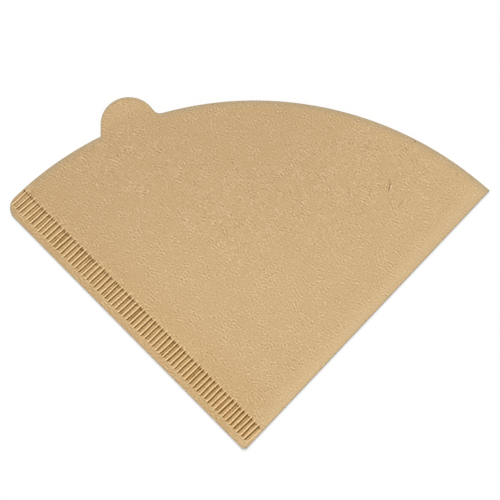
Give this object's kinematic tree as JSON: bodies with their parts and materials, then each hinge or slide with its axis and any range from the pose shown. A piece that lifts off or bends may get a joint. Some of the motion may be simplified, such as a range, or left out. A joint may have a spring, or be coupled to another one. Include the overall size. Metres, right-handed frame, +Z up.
{
  "type": "paper coffee filter",
  "caption": "Cone coffee filter of unbleached paper, folded flat, with a crimped ribbed seam and a round pull tab on its curved rim.",
  "frame": {"origin": "middle of the box round the folded filter, on the face that it lies on", "axes": "+Z up from the lower ply, +Y from the tip to the rim along the middle of the folded cone, +X towards the end of the fold"},
  "size_m": [0.1704, 0.1272, 0.0016],
  "materials": {
    "filter_paper": "unbleached creped paper, matt"
  },
  "bodies": {
    "root": {"paper_filter": "filter_paper"}
  },
  "joints": []
}
